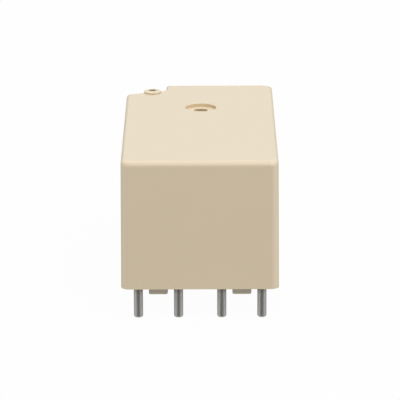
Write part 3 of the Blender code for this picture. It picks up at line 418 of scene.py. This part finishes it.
def wrap_tape():
    """Amber insulating film in overlapping laps, with the coil's turns under it as ridges."""
    finish = Finish("wrap_tape", 0.3, coat_weight=0.6)
    laps = finish.bands(9 * MM, {"Distortion": 0.2, "Detail": 0.0}, wave_profile="SAW")
    ridges = finish.noise(MM, 2.0, finish.stretched((0.12, 3.0, 0.12)))
    colour = finish.mix(ridges, TAPE_DARK, TAPE_LIGHT)
    finish.set("Base Color", finish.mix(0.3 * laps, colour, TAPE_LAP))
    finish.set("Roughness", 0.24 + 0.12 * ridges)
    finish.set("Normal", finish.bump(laps, 0.04 * MM, 0.7, finish.bump(ridges, 0.05 * MM, 0.6)))
    return finish


def magnet_alloy():
    """Sintered magnet: dark grey, with a ground surface and pores between its grains."""
    finish = Finish("magnet_alloy", 0.5, 0.4)
    grains = finish.noise(0.35 * MM, 5.0, roughness=0.7)
    ground = finish.noise(MM, 2.0, finish.stretched((6.0, 0.4, 6.0)))
    finish.set("Base Color", finish.mix(grains, MAGNET_DARK, MAGNET_LIGHT))
    finish.set("Roughness", 0.4 + 0.25 * grains)
    finish.set("Normal", finish.bump(grains, 0.02 * MM, 0.6, finish.bump(ground, 0.006 * MM, 0.5)))
    return finish


def contact_silver():
    """Silver alloy of the contacts: fine scuffs and a light tarnish in clouds."""
    finish = Finish("contact_silver", 0.25, 1.0)
    tarnish = finish.noise(0.9 * MM, 4.0)
    scuffs = finish.noise(0.06 * MM, 3.0)
    bright = finish.mix((1.6 * tarnish - 0.3).clamped(), SILVER_BRIGHT, SILVER_TARNISH)
    finish.set("Base Color", bright)
    finish.set("Roughness", 0.16 + 0.2 * tarnish)
    finish.set("Normal", finish.bump(scuffs, 0.003 * MM, 0.5))
    return finish


FINISHES = {
    "ivory_plastic": cover_plastic_with_painted_shading(),
    "grey_plastic": moulded_plastic("grey_plastic", BASE_GREY, 0.5, speckle=0.04),
    "black_plastic": moulded_plastic("black_plastic", MOULDING_BLACK, 0.44, speckle=0.12),
    "bobbin_plastic": moulded_plastic("bobbin_plastic", BOBBIN_GREY, 0.48, speckle=0.03),
    "epoxy": epoxy(),
    "tinned_copper": tinned_copper(),
    "brass_sheet": drawn_metal("brass_sheet", BRASS, 0.34, (5.0, 5.0, 0.5)),
    "spring_copper": drawn_metal("spring_copper", SPRING_COPPER, 0.3, (5.0, 0.4, 5.0)),
    "contact_silver": contact_silver(),
    "plated_iron": drawn_metal("plated_iron", PLATED_IRON, 0.34, (4.0, 0.4, 4.0)),
    "magnet_alloy": magnet_alloy(),
    "enamelled_wire": enamelled_wire(),
    "wrap_tape": wrap_tape(),
}


def dress_solids():
    """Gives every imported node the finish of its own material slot."""
    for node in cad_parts.values():
        for place in node.material_slots:
            place.material = FINISHES[place.material.name.split(".")[0]].material


# Mesh tools

MERGE_REACH = 0.0002 * MM
CUT_OVERRUN = 1.0 * MM
EDGE_MARGIN = 0.1 * MM
UPRIGHT = 0.99
FLAT_ANGLE = math.radians(0.5)
SMOOTH_ANGLE = math.radians(35)
SHARP_ANGLE = math.radians(50)


def box_mesh(low, high):
    """A box between two corners."""
    mesh = bmesh.new()
    bmesh.ops.create_cube(mesh, size=1.0)
    bmesh.ops.scale(mesh, vec=Vector(high) - Vector(low), verts=mesh.verts)
    bmesh.ops.translate(mesh, vec=(Vector(high) + Vector(low)) / 2, verts=mesh.verts)
    return mesh


def round_edges(mesh, edges, radius, segments, clamp=True):
    bmesh.ops.bevel(mesh, geom=edges, offset=radius, offset_type="OFFSET", affect="EDGES",
                    segments=segments, profile=0.5, material=-1, clamp_overlap=clamp)


def upright_edges(mesh):
    return [edge for edge in mesh.edges
            if abs((edge.verts[0].co - edge.verts[1].co).normalized().z) > UPRIGHT]


def turned_mesh(profile, centre, steps=ROUND_STEPS, ring=False):
    """A solid of revolution about an upright axis, from (radius, height) points, or a ring."""
    mesh = bmesh.new()
    verts = [mesh.verts.new((radius, 0.0, height)) for radius, height in profile]
    edges = [mesh.edges.new(pair) for pair in zip(verts, verts[1:] + verts[:ring])]
    bmesh.ops.spin(mesh, geom=verts + edges, cent=(0, 0, 0), axis=(0, 0, 1), angle=math.tau,
                   steps=steps, use_merge=True)
    bmesh.ops.remove_doubles(mesh, verts=mesh.verts, dist=MERGE_REACH)
    bmesh.ops.recalc_face_normals(mesh, faces=mesh.faces)
    bmesh.ops.translate(mesh, vec=(*centre, 0.0), verts=mesh.verts)
    return mesh


def quarter(centre, radius, start, end, steps):
    """(radius, height) points along an arc, angles in degrees, both ends included."""
    return [(centre[0] + radius * math.cos(math.radians(start + (end - start) * i / steps)),
             centre[1] + radius * math.sin(math.radians(start + (end - start) * i / steps)))
            for i in range(steps + 1)]


def rounded_rim(radius, top, edge_radius, steps):
    """(radius, height) points round the upper edge of a post."""
    return quarter((radius - edge_radius, top - edge_radius), edge_radius, 0, 90, steps)


def rounded_mouth(radius, top, edge_radius, steps, overrun=0.0):
    """(radius, height) points round the upper edge of a hole, and on past its top."""
    beyond = radius + edge_radius
    return (quarter((beyond, top - edge_radius), edge_radius, 180, 95, steps)
            + [(beyond, top + overrun)])


def loose_object(name, mesh):
    data = bpy.data.meshes.new(name)
    mesh.to_mesh(data)
    mesh.free()
    item = bpy.data.objects.new(name, data)
    bpy.context.scene.collection.objects.link(item)
    return item


def joined(meshes):
    """Several meshes as one."""
    whole = bmesh.new()
    for mesh in meshes:
        data = bpy.data.meshes.new("part")
        mesh.to_mesh(data)
        mesh.free()
        whole.from_mesh(data)
        bpy.data.meshes.remove(data)
    return whole


def with_shape(item, mesh, operation):
    """Cuts a shape from an object, or joins it on, for good."""
    tool = loose_object("tool", mesh)
    boolean = item.modifiers.new("shape", "BOOLEAN")
    boolean.operation = operation
    boolean.solver = "EXACT"
    boolean.object = tool
    seen = item.evaluated_get(bpy.context.evaluated_depsgraph_get())
    result = bpy.data.meshes.new_from_object(seen)
    item.modifiers.clear()
    item.data = result
    bpy.data.objects.remove(tool)


def edit(item, change):
    """Runs a change on an object's mesh."""
    mesh = bmesh.new()
    mesh.from_mesh(item.data)
    change(mesh)
    mesh.to_mesh(item.data)
    mesh.free()


def finished(item, slot, body, *nodes):
    """Gives a piece smooth shading, its finish and its body, and hides the nodes that it stands
    for.
    """
    item.data.shade_smooth()
    item.data.set_sharp_from_angle(angle=SMOOTH_ANGLE)
    item.data.materials.clear()
    item.data.materials.append(FINISHES[slot].material)
    weighted = item.modifiers.new("normals", "WEIGHTED_NORMAL")
    weighted.keep_sharp = True
    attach(item, body)
    if nodes:
        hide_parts(*nodes)


# Cover

def step_block(low_z, high_z):
    """The lowered corner's space: its front wall slants, and its inner corner is rounded."""
    reach = 2 * CUT_OVERRUN
    edge_x = -COVER_HALF_X + STEP_WIDTH
    edge_y = COVER_HALF_Y - STEP_LENGTH
    mesh = box_mesh((-COVER_HALF_X - reach, edge_y, low_z),
                    (edge_x, COVER_HALF_Y + reach, high_z))
    for side, shift in ((-1, -reach), (1, STEP_WIDTH)):
        verts = [vert for vert in mesh.verts
                 if vert.co.y < COVER_HALF_Y and (vert.co.x + COVER_HALF_X) * side > 0]
        bmesh.ops.translate(mesh, verts=verts, vec=(0.0, shift * math.tan(STEP_SLANT), 0.0))
    corner = [edge for edge in upright_edges(mesh)
              if edge.verts[0].co.x > edge_x - reach and edge.verts[0].co.y < COVER_HALF_Y]
    round_edges(mesh, corner, STEP_CORNER_RADIUS, 12)
    return mesh


def raise_top(mesh, rise, inset_x, inset_y):
    """Carries the top face up, and its two pairs of sides inwards."""
    top = max(mesh.faces, key=lambda face: face.calc_center_median().z)
    raised = bmesh.ops.extrude_face_region(mesh, geom=[top])["geom"]
    verts = [item for item in raised if isinstance(item, bmesh.types.BMVert)]
    bmesh.ops.delete(mesh, geom=[top], context="FACES_ONLY")
    bmesh.ops.translate(mesh, verts=verts, vec=(0.0, 0.0, rise))
    for side in (-1, 1):
        shifted = [vert for vert in verts if vert.co.x * side > 0]
        bmesh.ops.translate(mesh, verts=shifted, vec=(-side * inset_x, 0.0, 0.0))
        shifted = [vert for vert in verts if vert.co.y * side > 0]
        bmesh.ops.translate(mesh, verts=shifted, vec=(0.0, -side * inset_y, 0.0))


def edge_inset(radius, depth):
    """How far an upper edge's quarter round stands in from the wall, at a depth below the top."""
    rise = max(radius - depth, 0.0)
    return radius - math.sqrt(radius ** 2 - rise ** 2)


def round_depths(radius, angle, count):
    """Depths below the top at which the facets of an upper edge's quarter round meet."""
    return {radius * (1 - math.sin(math.radians(angle * i))) for i in range(count)}


def cover_shell():
    """Leaning walls, under edges that are rounded more at the short ends than along the sides."""
    mesh = box_mesh((-COVER_HALF_X, -COVER_HALF_Y, RIM_Z),
                    (COVER_HALF_X, COVER_HALF_Y, RIM_Z + COVER_WALL))
    round_edges(mesh, upright_edges(mesh), COVER_CORNER_RADIUS, 12)
    height = COVER_TOP_Z - RIM_Z
    depths = round_depths(COVER_TOP_END_RADIUS, 6, 16)
    depths |= round_depths(COVER_TOP_SIDE_RADIUS, 11.25, 8)
    before = (height - COVER_WALL, 0.0, 0.0)
    for depth in sorted(depths, reverse=True):
        now = (depth, edge_inset(COVER_TOP_SIDE_RADIUS, depth),
               edge_inset(COVER_TOP_END_RADIUS, depth))
        rise = before[0] - now[0]
        lean = COVER_DRAFT * rise / height
        raise_top(mesh, rise, now[1] - before[1] + lean, now[2] - before[2] + lean)
        before = now
    return loose_object("relay_cover", mesh)


def cavity_block(low_z, high_z):
    """The space inside the cover's walls."""
    half_x = COVER_HALF_X - COVER_WALL
    half_y = COVER_HALF_Y - COVER_WALL
    mesh = box_mesh((-half_x, -half_y, low_z), (half_x, half_y, high_z))
    round_edges(mesh, upright_edges(mesh), CAVITY_CORNER_RADIUS, 6)
    return mesh


def soften(low_z, high_z, radius, segments, outward_only=False):
    """A change that rounds the sharp edges between two heights, or only those that stand out."""
    def change(mesh):
        bmesh.ops.remove_doubles(mesh, verts=mesh.verts, dist=MERGE_REACH)
        bmesh.ops.dissolve_limit(mesh, angle_limit=FLAT_ANGLE, verts=mesh.verts,
                                 edges=mesh.edges, use_dissolve_boundaries=False)
        edges = [edge for edge in mesh.edges if edge.is_manifold
                 and all(low_z - EDGE_MARGIN < vert.co.z < high_z + EDGE_MARGIN
                         for vert in edge.verts)
                 and edge.calc_face_angle() > SHARP_ANGLE
                 and (edge.is_convex or not outward_only)]
        round_edges(mesh, edges, radius, segments, clamp=not outward_only)
    return change


def make_cover():
    cover = cover_shell()
    with_shape(cover, step_block(STEP_FLOOR_Z, COVER_TOP_Z + CUT_OVERRUN), "DIFFERENCE")
    edit(cover, soften(STEP_FLOOR_Z, COVER_TOP_Z, STEP_EDGE_RADIUS, 6, outward_only=True))
    with_shape(cover, cavity_block(RIM_Z - CUT_OVERRUN, STEP_FLOOR_Z - COVER_WALL), "DIFFERENCE")
    edit(cover, soften(RIM_Z, RIM_Z, RIM_EDGE_RADIUS, 3))
    nib_foot = STEP_FLOOR_Z - COVER_WALL / 2
    nib = ([(0.0, nib_foot), (NIB_RADIUS, nib_foot)]
           + rounded_rim(NIB_RADIUS, NIB_TOP_Z, NIB_EDGE_RADIUS, 5) + [(0.0, NIB_TOP_Z)])
    with_shape(cover, turned_mesh(nib, (NIB_X, NIB_Y)), "UNION")
    vent_floor = NIB_TOP_Z - VENT_DEPTH
    vent = ([(0.0, vent_floor), (VENT_RADIUS, vent_floor)]
            + rounded_mouth(VENT_RADIUS, NIB_TOP_Z, VENT_EDGE_RADIUS, 4, CUT_OVERRUN)
            + [(0.0, NIB_TOP_Z + CUT_OVERRUN)])
    with_shape(cover, turned_mesh(vent, (NIB_X, NIB_Y + VENT_SHIFT_BACK), 40), "DIFFERENCE")
    gate_floor = RECESS_FLOOR_Z - GATE_DEPTH
    recess = ([(0.0, gate_floor), (GATE_RADIUS, gate_floor)]
              + rounded_mouth(GATE_RADIUS, RECESS_FLOOR_Z, GATE_EDGE_RADIUS, 4)
              + [(RECESS_RADIUS, RECESS_FLOOR_Z)]
              + rounded_mouth(RECESS_RADIUS, COVER_TOP_Z, RECESS_EDGE_RADIUS, 5, CUT_OVERRUN)
              + [(0.0, COVER_TOP_Z + CUT_OVERRUN)])
    with_shape(cover, turned_mesh(recess, (RECESS_X, RECESS_Y), 64), "DIFFERENCE")
    finished(cover, "ivory_plastic", "housing", "cover")


# Pins, feet and resin

def pin_names():
    return [name for name in sorted(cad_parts) if name.endswith("_pin")]


def node_centre(name):
    low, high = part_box(name)
    return (low.x + high.x) / 2, (low.y + high.y) / 2


def make_pins():
    """Round pins with soft tips. Contact pins are staked over, coil pins end in a winding post."""
    tip = [(0.0, 0.0)] + quarter((PIN_RADIUS - PIN_TIP_RADIUS, PIN_TIP_RADIUS), PIN_TIP_RADIUS,
                                 -90, 0, 8)
    for name in pin_names():
        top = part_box(name)[1].z
        if name.startswith("coil"):
            upper = [(PIN_RADIUS, COIL_SHOULDER_Z), (COIL_POST_RADIUS, COIL_SHOULDER_Z)]
            upper += rounded_rim(COIL_POST_RADIUS, top, POST_EDGE_RADIUS, 4)
        else:
            upper = [(PIN_RADIUS, BASE_TOP_Z), (TENON_RADIUS, BASE_TOP_Z),
                     (TENON_RADIUS, top - STAKE_HEIGHT)]
            upper += rounded_rim(PIN_RADIUS, top, STAKE_HEIGHT, 6)
        mesh = turned_mesh(tip + upper + [(0.0, top)], node_centre(name))
        finished(loose_object("dressed_" + name, mesh), "tinned_copper", "housing", name)


def make_feet():
    """Standing feet with crisp edges, fitted over those of the base."""
    feet = []
    half_x = FOOT_WIDTH / 2 + FOOT_SIDE_SKIN
    half_y = FOOT_LENGTH / 2 + FOOT_SKIN
    for side, end in ((-1, -1), (-1, 1), (1, -1), (1, 1)):
        x = side * FOOT_X
        y = end * (COVER_HALF_Y - FOOT_END_INSET - FOOT_LENGTH / 2)
        foot = box_mesh((x - half_x, y - half_y, FEET_Z - FOOT_SKIN),
                        (x + half_x, y + half_y, RESIN_BOTTOM_Z + FOOT_SKIN))
        edges = [edge for edge in foot.edges if min(vert.co.z for vert in edge.verts) < FEET_Z]
        round_edges(foot, edges, FOOT_EDGE_RADIUS, 4)
        feet.append(foot)
    finished(loose_object("standing_feet", joined(feet)), "grey_plastic", "housing")


def make_resin_creep():
    """Where the sealing resin has climbed a little way down each pin before it set."""
    near = PIN_RADIUS + CREEP_GAP
    root = RESIN_BOTTOM_Z + CREEP_ROOT
    curve = [(near + CREEP_REACH * (1 - math.sin(math.radians(angle))),
              RESIN_BOTTOM_Z - CREEP_DROP * (1 - math.cos(math.radians(angle))))
             for angle in range(0, 91, 15)]
    profile = [(near, root), (near + CREEP_REACH, root)] + curve
    rings = [turned_mesh(profile, node_centre(name), 32, ring=True) for name in pin_names()]
    finished(loose_object("resin_creep", joined(rings)), "epoxy", "housing")


# Floor, lamp and world

PAPER_WHITE = 0.991
FLOOR_HALF_SIZE = 0.15
FLOOR_PAPER = 0.025
FLOOR_GLOW = 0.969

SCATTERED_LIGHT = 0.68
SCATTERED_FROM_BELOW = 0.05
MIRRORED_LIGHT = 1.1
MIRRORED_CAMERA_SIDE = -0.85
MIRRORED_CEILING = 0.9
MIRRORED_SKYLIGHT = 1.6
MIRRORED_FAR_WALL = -0.8
MIRRORED_SIDES = 0.05

KEY_LAMP_PLACE = (0.56, -0.75, 1.2)
KEY_LAMP_AIM = (0.0, 0.0, 0.015)
KEY_LAMP_SIZE = 1.35
KEY_LAMP_POWER = 8.7


def add_floor():
    """A pale floor that the camera sees, softly shadowed by the relay."""
    mesh = bmesh.new()
    bmesh.ops.create_grid(mesh, x_segments=1, y_segments=1, size=FLOOR_HALF_SIZE)
    floor = loose_object("floor", mesh)
    material = bpy.data.materials.new("floor_paper")
    tree = Tree(material)
    tree.nodes.remove(tree.nodes["Principled BSDF"])
    paper = tree.node("ShaderNodeBsdfDiffuse", {}, {"Color": (FLOOR_PAPER,) * 3})["BSDF"]
    glow = tree.node("ShaderNodeEmission", {}, {"Strength": FLOOR_GLOW})["Emission"]
    both = tree.node("ShaderNodeAddShader", {}, {0: paper, 1: glow})["Shader"]
    clear = tree.node("ShaderNodeBsdfTransparent", {}, {})["BSDF"]
    under = tree.node("ShaderNodeNewGeometry", {}, {})["Backfacing"]
    seen = tree.node("ShaderNodeMixShader", {}, {0: under, 1: both, 2: clear})["Shader"]
    tree.feed(tree.nodes["Material Output"].inputs["Surface"], seen)
    floor.data.materials.append(material)
    floor.visible_diffuse = False
    floor.visible_glossy = False
    floor.visible_transmission = False
    floor.visible_shadow = False


def room_part(direction, back, up, start=0.0, slope=1.0):
    """Rises from 0 to 1 where a direction points towards the back and up, by their shares."""
    return (slope * (up * direction["Z"] + back * direction["Y"] - start)).clamped()


def add_world():
    """A white room, whose reflections have a skylight and a dark side behind the camera."""
    world = bpy.data.worlds.new("room")
    bpy.context.scene.world = world
    tree = Tree(world)
    place = tree.node("ShaderNodeTexCoord", {}, {})["Generated"]
    direction = tree.node("ShaderNodeSeparateXYZ", {}, {"Vector": place})
    rays = tree.node("ShaderNodeLightPath", {}, {})
    camera_side = room_part(direction, -1.0, 0.0, start=0.45, slope=2.4)
    ceiling = room_part(direction, 0.4, 0.92)
    skylight = room_part(direction, 0.55, 0.84, start=0.72, slope=3.5)
    far_wall = room_part(direction, 1.0, 0.0)
    below = room_part(direction, 0.0, -1.0)
    sides = direction["X"] * direction["X"]
    mirrored = (MIRRORED_LIGHT + MIRRORED_CAMERA_SIDE * camera_side + MIRRORED_CEILING * ceiling
                + MIRRORED_SKYLIGHT * skylight + MIRRORED_FAR_WALL * far_wall
                + MIRRORED_SIDES * sides)
    scattered = SCATTERED_LIGHT + SCATTERED_FROM_BELOW * below
    white = (rays["Is Camera Ray"] + rays["Is Transmission Ray"]).clamped()
    strength = white * PAPER_WHITE + (1 - white) * (
        rays["Is Glossy Ray"] * mirrored + (1 - rays["Is Glossy Ray"]) * scattered)
    tree.feed(tree.nodes["Background"].inputs["Color"], (1.0, 1.0, 1.0))
    tree.feed(tree.nodes["Background"].inputs["Strength"], strength)


def add_lamp(name, place, aim, size, power):
    data = bpy.data.lights.new(name, "AREA")
    data.shape = "DISK"
    data.size = size
    data.energy = power
    lamp = bpy.data.objects.new(name, data)
    lamp.location = place
    lamp.rotation_mode = "QUATERNION"
    lamp.rotation_quaternion = (Vector(aim) - Vector(place)).to_track_quat("-Z", "Y")
    bpy.context.scene.collection.objects.link(lamp)


def main():
    bpy.context.scene.view_settings.view_transform = "Standard"
    add_camera()
    dress_solids()
    make_cover()
    make_pins()
    make_feet()
    make_resin_creep()
    add_floor()
    add_world()
    add_lamp("key_lamp", KEY_LAMP_PLACE, KEY_LAMP_AIM, KEY_LAMP_SIZE, KEY_LAMP_POWER)


main()
